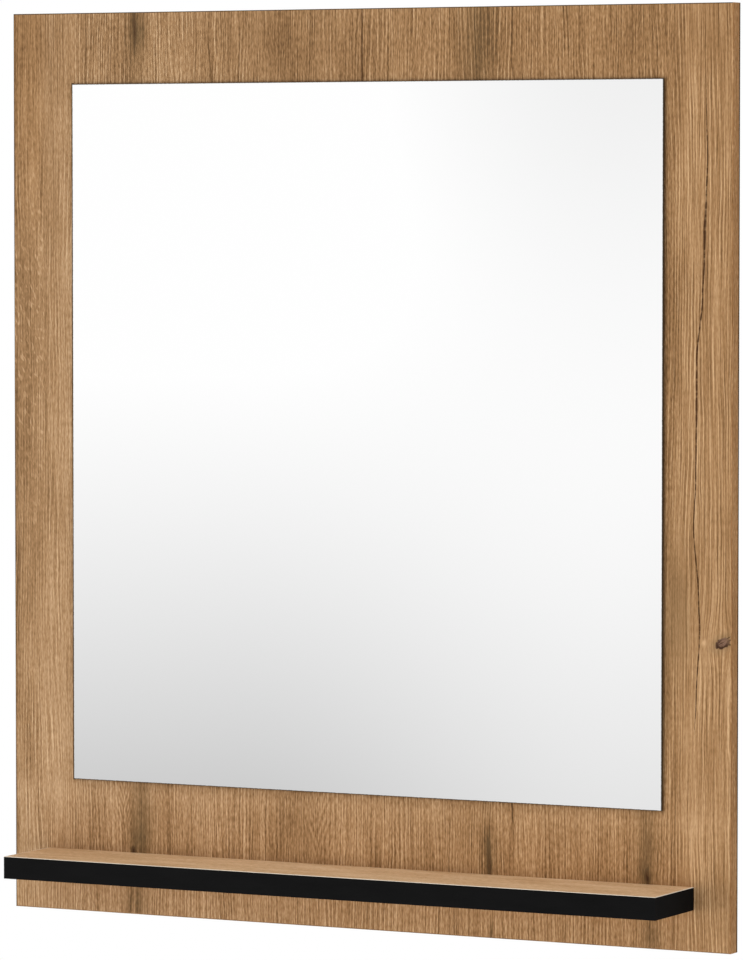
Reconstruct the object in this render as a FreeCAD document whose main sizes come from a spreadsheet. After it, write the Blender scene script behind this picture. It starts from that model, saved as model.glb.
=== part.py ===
"""Hall mirror: an oak-decor board with a frameless mirror bonded on its front and a narrow shelf.

Millimetres. +X is to the right seen from the front, +Y points into the wall and +Z is up.
The origin is the centre of the board's back face, which lies against the wall.
"""

import FreeCAD, Part
import math
import os

import Sketcher

# Driving dimensions
DIMENSIONS = {
    # back board, over its edge bands
    "panel_width": 780,
    "panel_height": 890,
    "panel_thickness": 16,
    "panel_band": 0.8,
    "panel_band_rounding": 0.4,
    # mirror glass, and how much board shows around it
    "glass_side_margin": 69.5,
    "glass_top_margin": 70,
    "glass_above_shelf": 70.5,
    "glass_thickness": 3,
    "glass_arris": 0.5,
    "silver_thickness": 0.1,
    # strips of foam tape and beads of adhesive behind the glass; margins run from the glass's edges,
    # at the sides to the middle of the outer strip, and at the top and bottom to a strip's or bead's end
    "tape_thickness": 1,
    "tape_width": 19,
    "tape_count": 4,
    "tape_side_margin": 45,
    "tape_end_margin": 30,
    "bead_width": 8,
    "bead_end_margin": 60,
    # shelf, over its edge bands
    "shelf_side_inset": 38,
    "shelf_underside": 39,
    "shelf_thickness": 22,
    "shelf_depth": 86.5,
    "shelf_band": 1,
    "shelf_band_rounding": 0.6,
    # dowels and screws that hold the shelf, in turn along its length; the margin runs from the shelf's
    # end to the outer dowel, and a cover is the board that is left behind a blind hole's end
    "dowel_end_margin": 37,
    "dowel_count": 4,
    "dowel_diameter": 8,
    "dowel_length": 30,
    "dowel_chamfer": 1,
    "dowel_cover": 4,
    "dowel_clearance": 0.05,
    "shelf_screw_count": 3,
    "shelf_screw_diameter": 4.5,
    "shelf_screw_head": 9,
    "shelf_screw_length": 50,
    "shelf_screw_sink": 0.3,
    "screw_clearance": 0.05,
    "hole_spare_depth": 1,
    # keyhole plates let into the back, and their screws; margins run from the board's edges to a plate's
    # middle, and the land is the straight part of a countersunk hole
    "hanger_width": 40,
    "hanger_height": 60,
    "hanger_thickness": 2,
    "hanger_corner": 6,
    "hanger_sink": 0.2,
    "hanger_fit": 0.3,
    "hanger_side_margin": 90,
    "hanger_top_margin": 66,
    "keyhole_entry": 10,
    "keyhole_slot": 5,
    "keyhole_rise": 13,
    "head_pocket_margin": 3,
    "head_pocket_cover": 5.8,
    "hanger_screw_diameter": 3.5,
    "hanger_screw_land": 0.25,
    "hanger_screw_cover": 2.8,
    "hanger_screw_side": 7,
    "hanger_screw_end": 8,
    # how far a cut runs past the face that it opens
    "cut_overrun": 1,
}

# A screw's point as a share of its diameter, and its cross recess as shares of its head's diameter
POINT_SHARE = 1.2
RECESS_LENGTH_SHARE = 0.56
RECESS_WIDTH_SHARE = 0.14
RECESS_DEPTH_SHARE = 0.2

X_AXIS = FreeCAD.Vector(1, 0, 0)
Y_AXIS = FreeCAD.Vector(0, 1, 0)
Z_AXIS = FreeCAD.Vector(0, 0, 1)
FULL_TURN = 360
# How closely two numbers agree when an edge or a face is looked up by its place
SAME_SHARE = 1e-6


class Size:
    """A number together with the sheet formula that gives it. Sums and products keep both."""

    def __init__(self, number, formula=None):
        self.number = float(number)
        self.formula = repr(number) if formula is None else formula

    @staticmethod
    def of(other):
        return other if isinstance(other, Size) else Size(other)

    def __add__(self, other):
        other = Size.of(other)
        return Size(self.number + other.number, f"({self.formula} + {other.formula})")

    def __sub__(self, other):
        other = Size.of(other)
        return Size(self.number - other.number, f"({self.formula} - {other.formula})")

    def __mul__(self, other):
        other = Size.of(other)
        return Size(self.number * other.number, f"({self.formula} * {other.formula})")

    def __truediv__(self, other):
        other = Size.of(other)
        return Size(self.number / other.number, f"({self.formula} / {other.formula})")

    def __neg__(self):
        return Size(-self.number, f"(-1 * {self.formula})")

    __rmul__ = __mul__


ZERO = Size(0)
PAIR = Size(2)


class Dimensions:
    """The driving dimensions: cells of a sheet in the document, and Size attributes here."""

    def __init__(self, document):
        sheet = document.addObject("Spreadsheet::Sheet", "Dimensions")
        for row, (name, number) in enumerate(DIMENSIONS.items(), start=1):
            sheet.set(f"A{row}", name)
            sheet.set(f"B{row}", str(number))
            sheet.setAlias(f"B{row}", name)
            setattr(self, name, Size(number, f"{sheet.Name}.{name}"))


doc = FreeCAD.newDocument("hall_mirror")
dim = Dimensions(doc)

# Heights and half sizes that several pieces share, from the board's centre
CORE_HALF_WIDTH = dim.panel_width / 2 - dim.panel_band
CORE_HALF_HEIGHT = dim.panel_height / 2 - dim.panel_band
SHELF_MIDDLE = dim.shelf_underside + dim.shelf_thickness / 2 - dim.panel_height / 2
SHELF_HALF_LENGTH = dim.panel_width / 2 - dim.shelf_side_inset
SHELF_CORE_HALF_LENGTH = SHELF_HALF_LENGTH - dim.shelf_band
SHELF_CORE_DEPTH = dim.shelf_depth - dim.shelf_band
GLASS_BOTTOM = SHELF_MIDDLE + dim.shelf_thickness / 2 + dim.glass_above_shelf
GLASS_TOP = dim.panel_height / 2 - dim.glass_top_margin
GLASS_MIDDLE = (GLASS_BOTTOM + GLASS_TOP) / 2
GLASS_HALF_WIDTH = dim.panel_width / 2 - dim.glass_side_margin
GLASS_HALF_HEIGHT = (GLASS_TOP - GLASS_BOTTOM) / 2
TAPE_HALF_SPREAD = GLASS_HALF_WIDTH - dim.tape_side_margin
TAPE_PITCH = 2 * TAPE_HALF_SPREAD / (dim.tape_count - 1)
DOWEL_HALF_SPREAD = SHELF_HALF_LENGTH - dim.dowel_end_margin
SCREW_HALF_SPREAD = DOWEL_HALF_SPREAD * (dim.shelf_screw_count - 1) / (dim.dowel_count - 1)
DOWEL_IN_PANEL = dim.panel_thickness - dim.dowel_cover - dim.hole_spare_depth
HANGER_X = dim.panel_width / 2 - dim.hanger_side_margin
HANGER_MIDDLE = dim.panel_height / 2 - dim.hanger_top_margin
HANGER_SCREW_X = dim.hanger_width / 2 - dim.hanger_screw_side
HANGER_SCREW_Z = dim.hanger_height / 2 - dim.hanger_screw_end
HANGER_HOLE = dim.hanger_screw_diameter + 2 * dim.screw_clearance
HANGER_SCREW_HOLE_DEPTH = dim.panel_thickness - dim.hanger_screw_cover
HANGER_SCREW_LENGTH = HANGER_SCREW_HOLE_DEPTH - dim.hole_spare_depth - dim.hanger_sink
HANGER_SCREW_HEAD = dim.hanger_screw_diameter + 2 * (dim.hanger_thickness - dim.hanger_screw_land)


def bind(thing, name, size):
    """Ties a property, or one part of it, to a formula."""
    thing.setExpression(name, size.formula)


def new_body(label):
    body = doc.addObject("PartDesign::Body", label)
    body.Label = label
    return body


def place(body, x, y, z, across=X_AXIS, up=Z_AXIS):
    """Puts a body's own origin at x, y, z, its own X along across and its own Z along up."""
    turn = FreeCAD.Rotation(across, up.cross(across), up, "XYZ")
    body.Placement = FreeCAD.Placement(FreeCAD.Vector(x.number, y.number, z.number), turn)
    for axis, size in zip("xyz", (x, y, z)):
        bind(body, f"Placement.Base.{axis}", size)


def new_sketch(body, name, role, shift=None):
    """A sketch on one of the body's own planes, shifted along the plane's own axes and its normal."""
    sketch = body.newObject("Sketcher::SketchObject", name)
    plane = next(feature for feature in body.Origin.OriginFeatures if feature.Role == role)
    sketch.AttachmentSupport = [(plane, "")]
    sketch.MapMode = "FlatFace"
    for axis, size in zip("xyz", shift or ()):
        bind(sketch, f"AttachmentOffset.Base.{axis}", size)
    return sketch


def hold_number(sketch, size, kind, *targets):
    index = sketch.addConstraint(Sketcher.Constraint(kind, *targets, size.number))
    bind(sketch, f"Constraints[{index}]", size)


def hold_point(sketch, geometry, point, x=None, y=None):
    """Holds one point of a sketch at x, y from the sketch's origin, or only one of the two."""
    for kind, size in (("DistanceX", x), ("DistanceY", y)):
        if size is not None:
            hold_number(sketch, size, kind, -1, 1, geometry, point)


def add_circle(sketch, x, y, diameter):
    centre = FreeCAD.Vector(x.number, y.number, 0)
    circle = sketch.addGeometry(Part.Circle(centre, Z_AXIS, diameter.number / 2))
    hold_point(sketch, circle, 3, x, y)
    hold_number(sketch, diameter, "Diameter", circle)


def add_arc(sketch, start, stop, centre_x, centre_y, radius):
    """An arc that bends left from start to stop, with its centre and radius held."""
    centre = FreeCAD.Vector(centre_x.number, centre_y.number, 0)
    angles = [math.atan2(point.y - centre.y, point.x - centre.x) for point in (start, stop)]
    circle = Part.Circle(centre, Z_AXIS, radius.number)
    arc = sketch.addGeometry(Part.ArcOfCircle(circle, *angles))
    hold_point(sketch, arc, 3, centre_x, centre_y)
    hold_number(sketch, radius, "Radius", arc)
    return arc


def add_outline(sketch, corners):
    """A closed outline, walked with its inside on the left. A corner (x, y) has a straight way on.

    A corner (x, y, centre x, centre y, radius) has an arc to the next one, which bends left.
    """
    starts = [FreeCAD.Vector(corner[0].number, corner[1].number, 0) for corner in corners]
    sides = []
    for corner, start, stop in zip(corners, starts, starts[1:] + starts[:1]):
        if len(corner) == 2:
            sides.append(sketch.addGeometry(Part.LineSegment(start, stop)))
        else:
            sides.append(add_arc(sketch, start, stop, *corner[2:]))
    for i, corner in enumerate(corners):
        sketch.addConstraint(Sketcher.Constraint("Coincident", sides[i - 1], 2, sides[i], 1))
        arc = next((side for side in (corner, corners[i - 1]) if len(side) > 2), None)
        if arc is None:
            hold_point(sketch, sides[i], 1, corner[0], corner[1])
        elif abs(corner[0].number - arc[2].number) > abs(corner[1].number - arc[3].number):
            hold_point(sketch, sides[i], 1, y=corner[1])
        else:
            hold_point(sketch, sides[i], 1, x=corner[0])


def box_corners(x0, y0, x1, y1):
    return [(x0, y0), (x1, y0), (x1, y1), (x0, y1)]


def centred_corners(half_width, half_height):
    return box_corners(-half_width, -half_height, half_width, half_height)


def rounded_corners(x0, y0, x1, y1, r):
    """A rectangle with round corners of radius r."""
    return [
        (x0 + r, y0),
        (x1 - r, y0, x1 - r, y0 + r, r),
        (x1, y0 + r),
        (x1, y1 - r, x1 - r, y1 - r, r),
        (x1 - r, y1),
        (x0 + r, y1, x0 + r, y1 - r, r),
        (x0, y1 - r),
        (x0, y0 + r, x0 + r, y0 + r, r),
    ]


def slot_corners(x, y0, y1, width):
    """An upright slot whose round ends have their centres at x, y0 and x, y1."""
    r = width / 2
    return [(x + r, y0), (x + r, y1, x, y1, r), (x - r, y1), (x - r, y0, x, y0, r)]


def cross_corners(reach, half_width):
    """An upright cross about the origin, whose arms are 2 half_width wide and end at reach."""
    a, b = reach, half_width
    return [
        (a, -b), (a, b), (b, b), (b, a), (-b, a), (-b, b),
        (-a, b), (-a, -b), (-b, -b), (-b, -a), (b, -a), (b, -b),
    ]


def finish_feature(body, feature):
    body.Tip = feature
    doc.recompute()
    return feature


def pad(body, sketch, length, symmetric=False):
    feature = body.newObject("PartDesign::Pad", f"{sketch.Name}_pad")
    feature.Profile = sketch
    feature.SideType = "Symmetric" if symmetric else "One side"
    bind(feature, "Length", length)
    return finish_feature(body, feature)


def cut_with(body, kind, name, sketch, **settings):
    """Adds a cutting feature, and raises an error if it leaves the body as it was."""
    before = body.Shape.Volume
    feature = body.newObject(kind, name)
    feature.Profile = sketch
    for setting, value in settings.items():
        if isinstance(value, Size):
            bind(feature, setting, value)
        else:
            setattr(feature, setting, value)
    finish_feature(body, feature)
    if not body.Shape.Volume < before:
        raise RuntimeError(f"{name} cuts nothing")
    return feature


def pocket(body, sketch, depth, along_normal=False):
    """Cuts a sketch to a depth, against the sketch's normal or along it."""
    name = f"{sketch.Name}_pocket"
    return cut_with(body, "PartDesign::Pocket", name, sketch, Length=depth, Reversed=along_normal)


def groove(body, sketch):
    """Cuts what a sketch sweeps as it turns about its own horizontal axis."""
    axis = (sketch, ["H_Axis"])
    name = f"{sketch.Name}_groove"
    return cut_with(body, "PartDesign::Groove", name, sketch, ReferenceAxis=axis, Angle=FULL_TURN)


def revolve(body, sketch):
    """Makes what a sketch sweeps as it turns about its own horizontal axis."""
    feature = body.newObject("PartDesign::Revolution", f"{sketch.Name}_turned")
    feature.Profile = sketch
    feature.ReferenceAxis = (sketch, ["H_Axis"])
    feature.Angle = FULL_TURN
    return finish_feature(body, feature)


def repeat(body, features, sketch, axis, count, length, second_length=None):
    """Repeats features along an axis of a sketch, and as often along its V axis if a length is given."""
    pattern = body.newObject("PartDesign::LinearPattern", f"{features[0].Name}_row")
    pattern.Originals = features
    pattern.Direction = (sketch, [axis])
    bind(pattern, "Length", length)
    bind(pattern, "Occurrences", count)
    if second_length:
        pattern.Direction2 = (sketch, ["V_Axis"])
        bind(pattern, "Length2", second_length)
        bind(pattern, "Occurrences2", count)
    return finish_feature(body, pattern)


def chamfer(body, name, edges_or_faces, size):
    base = body.Tip
    feature = body.newObject("PartDesign::Chamfer", name)
    feature.Base = (base, edges_or_faces)
    bind(feature, "Size", size)
    return finish_feature(body, feature)


def faces_across(shape, axis):
    """Names of the flat faces that lie square to an axis."""
    return [
        f"Face{i}"
        for i, face in enumerate(shape.Faces, start=1)
        if isinstance(face.Surface, Part.Plane) and abs(face.Surface.Axis.dot(axis)) > 1 - SAME_SHARE
    ]


def rims(shape, diameter):
    """Names of the whole circles of this diameter at the shape's own z = 0."""
    found = []
    for i, edge in enumerate(shape.Edges, start=1):
        curve = edge.Curve
        if not isinstance(curve, Part.Circle) or not edge.isClosed():
            continue
        same = abs(2 * curve.Radius - diameter.number) < SAME_SHARE * diameter.number
        if same and abs(edge.BoundBox.ZMax) < SAME_SHARE * diameter.number:
            found.append(f"Edge{i}")
    return found


def make_panel_board():
    """The board between its edge bands, with its recesses and holes."""
    body = new_body("panel_board")
    place(body, ZERO, ZERO, ZERO)
    outline = new_sketch(body, "board_outline", "XZ_Plane")
    add_outline(outline, centred_corners(CORE_HALF_WIDTH, CORE_HALF_HEIGHT))
    pad(body, outline, dim.panel_thickness)
    cut_hanger_seats(body)
    cut_shelf_screw_holes(body)
    cut_dowel_holes(body)


def cut_hanger_seats(body):
    """For each plate a flush recess, room for the wall screw's head, and the plate's screw holes."""
    x = -HANGER_X
    half_width = dim.hanger_width / 2 + dim.hanger_fit
    half_height = dim.hanger_height / 2 + dim.hanger_fit
    recess = new_sketch(body, "hanger_recess", "XZ_Plane")
    add_outline(recess, rounded_corners(
        x - half_width, HANGER_MIDDLE - half_height, x + half_width, HANGER_MIDDLE + half_height,
        dim.hanger_corner + dim.hanger_fit,
    ))
    cuts = [pocket(body, recess, dim.hanger_sink + dim.hanger_thickness, along_normal=True)]
    room = new_sketch(body, "head_room", "XZ_Plane")
    rise = dim.keyhole_rise / 2
    width = dim.keyhole_entry + 2 * dim.head_pocket_margin
    add_outline(room, slot_corners(x, HANGER_MIDDLE - rise, HANGER_MIDDLE + rise, width))
    cuts.append(pocket(body, room, dim.panel_thickness - dim.head_pocket_cover, along_normal=True))
    holes = new_sketch(body, "hanger_screw_holes", "XZ_Plane")
    for across in (-HANGER_SCREW_X, HANGER_SCREW_X):
        for up in (-HANGER_SCREW_Z, HANGER_SCREW_Z):
            add_circle(holes, x + across, HANGER_MIDDLE + up, HANGER_HOLE)
    cuts.append(pocket(body, holes, HANGER_SCREW_HOLE_DEPTH, along_normal=True))
    repeat(body, cuts, recess, "H_Axis", PAIR, 2 * HANGER_X)


def cut_shelf_screw_holes(body):
    """Countersunk through holes, each the screw's own profile with its clearance, turned about its axis."""
    head = dim.shelf_screw_head / 2 + dim.screw_clearance
    shank = dim.shelf_screw_diameter / 2 + dim.screw_clearance
    sink = dim.shelf_screw_sink
    front = -dim.panel_thickness - dim.cut_overrun
    profile = new_sketch(body, "shelf_screw_hole", "YZ_Plane", (ZERO, SHELF_MIDDLE, -SCREW_HALF_SPREAD))
    add_outline(profile, [
        (front, ZERO), (dim.cut_overrun, ZERO), (dim.cut_overrun, head), (-sink, head),
        (-sink - head + shank, shank), (front, shank),
    ])
    row = new_sketch(body, "shelf_screw_row", "XZ_Plane")
    repeat(body, [groove(body, profile)], row, "H_Axis", dim.shelf_screw_count, 2 * SCREW_HALF_SPREAD)


def cut_dowel_holes(body):
    """Blind holes in the board's front face."""
    holes = new_sketch(body, "panel_dowel_holes", "XZ_Plane", (ZERO, ZERO, dim.panel_thickness))
    add_circle(holes, -DOWEL_HALF_SPREAD, SHELF_MIDDLE, dim.dowel_diameter + 2 * dim.dowel_clearance)
    cut = pocket(body, holes, dim.panel_thickness - dim.dowel_cover)
    repeat(body, [cut], holes, "H_Axis", dim.dowel_count, 2 * DOWEL_HALF_SPREAD)


def make_band(label, length, breadth, thickness, rounding, outward, along, x, y, z):
    """An edge band: its section has two rounded outer corners, and its length runs along one axis.

    x, y, z is the middle of its inner face, which lies on the board's edge.
    """
    body = new_body(label)
    place(body, x, y, z, across=outward, up=along)
    section = new_sketch(body, f"{label}_section", "XY_Plane")
    half = breadth / 2
    inner = thickness - rounding
    add_outline(section, [
        (ZERO, -half),
        (inner, -half, inner, rounding - half, rounding),
        (thickness, rounding - half),
        (thickness, half - rounding, inner, half - rounding, rounding),
        (inner, half),
        (ZERO, half),
    ])
    pad(body, section, length, symmetric=True)


def make_panel_bands():
    """Side bands over the whole height, top and bottom bands between them."""
    section = (dim.panel_thickness, dim.panel_band, dim.panel_band_rounding)
    middle = -dim.panel_thickness / 2
    for side, outward, x in (("left", -X_AXIS, -CORE_HALF_WIDTH), ("right", X_AXIS, CORE_HALF_WIDTH)):
        make_band(f"panel_edge_{side}", dim.panel_height, *section, outward, Z_AXIS, x, middle, ZERO)
    for side, outward, z in (("bottom", -Z_AXIS, -CORE_HALF_HEIGHT), ("top", Z_AXIS, CORE_HALF_HEIGHT)):
        make_band(f"panel_edge_{side}", 2 * CORE_HALF_WIDTH, *section, outward, X_AXIS, ZERO, middle, z)


def make_mirror_glass():
    body = new_body("mirror_glass")
    place(body, ZERO, -dim.panel_thickness - dim.tape_thickness - dim.silver_thickness, GLASS_MIDDLE)
    outline = new_sketch(body, "glass_outline", "XZ_Plane")
    add_outline(outline, centred_corners(GLASS_HALF_WIDTH, GLASS_HALF_HEIGHT))
    pad(body, outline, dim.glass_thickness)
    chamfer(body, "glass_arrises", faces_across(body.Shape, Y_AXIS), dim.glass_arris)


def make_mirror_silver():
    """The coat covers the glass's back face inside its ground corners."""
    body = new_body("mirror_silver")
    place(body, ZERO, -dim.panel_thickness - dim.tape_thickness, GLASS_MIDDLE)
    outline = new_sketch(body, "silver_outline", "XZ_Plane")
    arris = dim.glass_arris
    add_outline(outline, centred_corners(GLASS_HALF_WIDTH - arris, GLASS_HALF_HEIGHT - arris))
    pad(body, outline, dim.silver_thickness)


def make_mirror_tape():
    body = new_body("mirror_tape")
    place(body, ZERO, -dim.panel_thickness, GLASS_MIDDLE)
    strip = new_sketch(body, "tape_strip", "XZ_Plane")
    half_width = dim.tape_width / 2
    end = GLASS_HALF_HEIGHT - dim.tape_end_margin
    middle = -TAPE_HALF_SPREAD
    add_outline(strip, box_corners(middle - half_width, -end, middle + half_width, end))
    strips = [pad(body, strip, dim.tape_thickness)]
    repeat(body, strips, strip, "H_Axis", dim.tape_count, 2 * TAPE_HALF_SPREAD)


def make_mirror_adhesive():
    """One bead midway between each strip of tape and the next."""
    body = new_body("mirror_adhesive")
    place(body, ZERO, -dim.panel_thickness, GLASS_MIDDLE)
    bead = new_sketch(body, "adhesive_bead", "XZ_Plane")
    end = GLASS_HALF_HEIGHT - dim.bead_end_margin - dim.bead_width / 2
    add_outline(bead, slot_corners(TAPE_PITCH / 2 - TAPE_HALF_SPREAD, -end, end, dim.bead_width))
    beads = [pad(body, bead, dim.tape_thickness)]
    repeat(body, beads, bead, "H_Axis", dim.tape_count - 1, TAPE_PITCH * (dim.tape_count - 2))


def make_shelf_board():
    """The shelf between its edge bands. Its own origin is the middle of its rear face."""
    body = new_body("shelf_board")
    place(body, ZERO, -dim.panel_thickness, SHELF_MIDDLE)
    outline = new_sketch(body, "shelf_outline", "XY_Plane")
    end = SHELF_CORE_HALF_LENGTH
    add_outline(outline, box_corners(-end, -SHELF_CORE_DEPTH, end, ZERO))
    pad(body, outline, dim.shelf_thickness, symmetric=True)
    dowels = new_sketch(body, "shelf_dowel_holes", "XZ_Plane")
    add_circle(dowels, -DOWEL_HALF_SPREAD, ZERO, dim.dowel_diameter + 2 * dim.dowel_clearance)
    reach = dim.dowel_length - DOWEL_IN_PANEL
    cut = pocket(body, dowels, reach + dim.hole_spare_depth, along_normal=True)
    repeat(body, [cut], dowels, "H_Axis", dim.dowel_count, 2 * DOWEL_HALF_SPREAD)
    screws = new_sketch(body, "shelf_pilot_holes", "XZ_Plane")
    add_circle(screws, -SCREW_HALF_SPREAD, ZERO, dim.shelf_screw_diameter + 2 * dim.screw_clearance)
    reach = dim.shelf_screw_length + dim.shelf_screw_sink - dim.panel_thickness
    cut = pocket(body, screws, reach + dim.hole_spare_depth, along_normal=True)
    repeat(body, [cut], screws, "H_Axis", dim.shelf_screw_count, 2 * SCREW_HALF_SPREAD)


def make_shelf_bands():
    """The front band covers the ends of the two side bands."""
    section = (dim.shelf_thickness, dim.shelf_band, dim.shelf_band_rounding)
    front = -dim.panel_thickness - SHELF_CORE_DEPTH
    make_band("shelf_edge_front", 2 * SHELF_HALF_LENGTH, *section, -Y_AXIS, X_AXIS, ZERO, front, SHELF_MIDDLE)
    middle = -dim.panel_thickness - SHELF_CORE_DEPTH / 2
    end = SHELF_CORE_HALF_LENGTH
    for side, outward, x in (("left", -X_AXIS, -end), ("right", X_AXIS, end)):
        make_band(f"shelf_edge_{side}", SHELF_CORE_DEPTH, *section, outward, Y_AXIS, x, middle, SHELF_MIDDLE)


def make_shelf_dowels():
    """Dowels turned about their own X, which points to the front, in a row along the shelf."""
    body = new_body("shelf_dowels")
    place(body, -DOWEL_HALF_SPREAD, DOWEL_IN_PANEL - dim.panel_thickness, SHELF_MIDDLE, across=-Y_AXIS)
    profile = new_sketch(body, "dowel_profile", "XY_Plane")
    length, radius, corner = dim.dowel_length, dim.dowel_diameter / 2, dim.dowel_chamfer
    add_outline(profile, [
        (ZERO, ZERO), (length, ZERO), (length, radius - corner), (length - corner, radius),
        (corner, radius), (ZERO, radius - corner),
    ])
    repeat(body, [revolve(body, profile)], profile, "V_Axis", dim.dowel_count, 2 * DOWEL_HALF_SPREAD)


def make_screws(label, length, diameter, head, x, y, z, count, spread, second_spread=None):
    """Countersunk screws turned about their own X, which points to the front.

    x, y, z is the middle of the first head's top.
    """
    body = new_body(label)
    place(body, x, y, z, across=-Y_AXIS)
    profile = new_sketch(body, f"{label}_profile", "XY_Plane")
    shank = diameter / 2
    add_outline(profile, [
        (ZERO, ZERO), (length, ZERO), (length - POINT_SHARE * diameter, shank),
        (head / 2 - shank, shank), (ZERO, head / 2),
    ])
    screw = revolve(body, profile)
    recess = new_sketch(body, f"{label}_recess", "YZ_Plane")
    add_outline(recess, cross_corners(RECESS_LENGTH_SHARE * head / 2, RECESS_WIDTH_SHARE * head / 2))
    cross = pocket(body, recess, RECESS_DEPTH_SHARE * head, along_normal=True)
    repeat(body, [screw, cross], recess, "H_Axis", count, spread, second_spread)


def make_hanger(label, middle):
    """A keyhole plate. Its own X is the object's, its own Y points up and its own Z into the board."""
    body = new_body(label)
    place(body, middle, -dim.hanger_sink, HANGER_MIDDLE, up=-Y_AXIS)
    outline = new_sketch(body, f"{label}_outline", "XY_Plane")
    x, y = dim.hanger_width / 2, dim.hanger_height / 2
    add_outline(outline, rounded_corners(-x, -y, x, y, dim.hanger_corner))
    for across in (-HANGER_SCREW_X, HANGER_SCREW_X):
        for up in (-HANGER_SCREW_Z, HANGER_SCREW_Z):
            add_circle(outline, across, up, HANGER_HOLE)
    pad(body, outline, dim.hanger_thickness)
    rise = dim.keyhole_rise / 2
    entry = new_sketch(body, f"{label}_entry", "XY_Plane")
    add_circle(entry, ZERO, -rise, dim.keyhole_entry)
    pocket(body, entry, dim.hanger_thickness + dim.cut_overrun, along_normal=True)
    slot = new_sketch(body, f"{label}_slot", "XY_Plane")
    add_outline(slot, slot_corners(ZERO, -rise, rise, dim.keyhole_slot))
    pocket(body, slot, dim.hanger_thickness + dim.cut_overrun, along_normal=True)
    sink = dim.hanger_thickness - dim.hanger_screw_land
    chamfer(body, f"{label}_countersinks", rims(body.Tip.Shape, HANGER_HOLE), sink)


def make_hangers():
    """A plate on each side, and its four screws in a node of their own."""
    for side, middle in (("left", -HANGER_X), ("right", HANGER_X)):
        make_hanger(f"hanger_{side}", middle)
        make_screws(
            f"hanger_screws_{side}",
            HANGER_SCREW_LENGTH, dim.hanger_screw_diameter, HANGER_SCREW_HEAD,
            middle - HANGER_SCREW_X, -dim.hanger_sink, HANGER_MIDDLE - HANGER_SCREW_Z,
            PAIR, 2 * HANGER_SCREW_X, 2 * HANGER_SCREW_Z,
        )


def write_parts():
    """Checks every object of the document, and then writes each body to its own file."""
    doc.recompute()
    for thing in doc.Objects:
        if {"Invalid", "Error"} & set(thing.State):
            raise RuntimeError(f"{thing.Name} has failed: {thing.State}")
    bodies = [thing for thing in doc.Objects if thing.TypeId == "PartDesign::Body"]
    for body in bodies:
        if body.Shape.isNull() or not body.Shape.isValid() or not body.Shape.Solids:
            raise RuntimeError(f"{body.Label} has no valid solid")
    os.makedirs("parts", exist_ok=True)
    for body in bodies:
        body.Shape.exportStep(os.path.join("parts", f"{body.Label}.step"))
        print(f"{body.Label}: {len(body.Shape.Solids)} solids, {body.Shape.Volume:.1f} mm3")


make_panel_board()
make_panel_bands()
make_mirror_glass()
make_mirror_silver()
make_mirror_tape()
make_mirror_adhesive()
make_shelf_board()
make_shelf_bands()
make_shelf_dowels()
make_screws(
    "shelf_screws",
    dim.shelf_screw_length, dim.shelf_screw_diameter, dim.shelf_screw_head,
    -SCREW_HALF_SPREAD, -dim.shelf_screw_sink, SHELF_MIDDLE,
    dim.shelf_screw_count, 2 * SCREW_HALF_SPREAD,
)
make_hangers()
write_parts()
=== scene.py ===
"""Dresses the packed hall mirror in oak decor, mirror glass, black bands and zinc, in a plain studio."""

import math
from collections import namedtuple
from functools import partial

import bmesh
import bpy
import numpy as np
from bpy.props import FloatProperty, FloatVectorProperty, IntProperty, PointerProperty
from bpy.types import Operator, Panel, PropertyGroup
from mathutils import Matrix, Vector


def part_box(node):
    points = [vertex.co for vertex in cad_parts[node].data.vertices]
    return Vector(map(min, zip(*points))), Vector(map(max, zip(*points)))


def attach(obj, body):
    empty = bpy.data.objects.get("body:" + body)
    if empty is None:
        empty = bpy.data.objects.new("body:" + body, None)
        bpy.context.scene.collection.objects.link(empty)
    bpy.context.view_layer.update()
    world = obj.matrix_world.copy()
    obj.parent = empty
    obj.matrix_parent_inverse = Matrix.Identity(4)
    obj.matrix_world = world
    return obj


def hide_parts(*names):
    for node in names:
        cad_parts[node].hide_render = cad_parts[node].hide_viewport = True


bl_info = {
    "name": "Hall Mirror",
    "version": (1, 0, 0),
    "blender": (4, 5, 0),
    "location": "3D View > Sidebar > Hall Mirror",
    "description": "Gives the hall mirror its finishes and sets it in a plain studio",
    "category": "Object",
}

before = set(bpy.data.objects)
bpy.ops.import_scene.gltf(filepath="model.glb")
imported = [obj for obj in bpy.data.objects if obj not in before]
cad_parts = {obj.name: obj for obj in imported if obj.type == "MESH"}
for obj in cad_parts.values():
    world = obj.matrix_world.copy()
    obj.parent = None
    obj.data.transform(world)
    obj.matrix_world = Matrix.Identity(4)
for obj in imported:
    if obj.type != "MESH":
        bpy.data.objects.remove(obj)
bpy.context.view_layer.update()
BODY = "root"
MM = 0.001
FULL_TURN = 2 * math.pi
WHITE = (1.0, 1.0, 1.0)

# The rays that look at the studio: directly, in a reflection and through something clear.
LOOKING_RAYS = ("Is Camera Ray", "Is Glossy Ray", "Is Transmission Ray")

# Specular levels of the matt surfaces and of the edge bands.
DULL = 0.15
BAND_DULL = 0.03

Box = namedtuple("Box", "low high middle half")


def box_of(node):
    """A CAD node's lowest and highest corners, its middle and its half size, in millimetres."""
    low, high = (np.array(corner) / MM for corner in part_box(node))
    return Box(low, high, 0.5 * (low + high), 0.5 * (high - low))


BOARD = box_of("panel_board")
GLASS = box_of("mirror_glass")
SILVER = box_of("mirror_silver")
SHELF = box_of("shelf_board")


def screen(red, green, blue):
    """The linear colour of a screen colour given from 0 to 255, by the curve of sRGB."""
    return tuple(
        level / 12.92 if level <= 0.04045 else ((level + 0.055) / 1.055) ** 2.4
        for level in (red / 255, green / 255, blue / 255)
    )


def scaled(base, amount):
    """A colour made darker or lighter, and at most 1."""
    return tuple(min(1.0, part * amount) for part in base)


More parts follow.
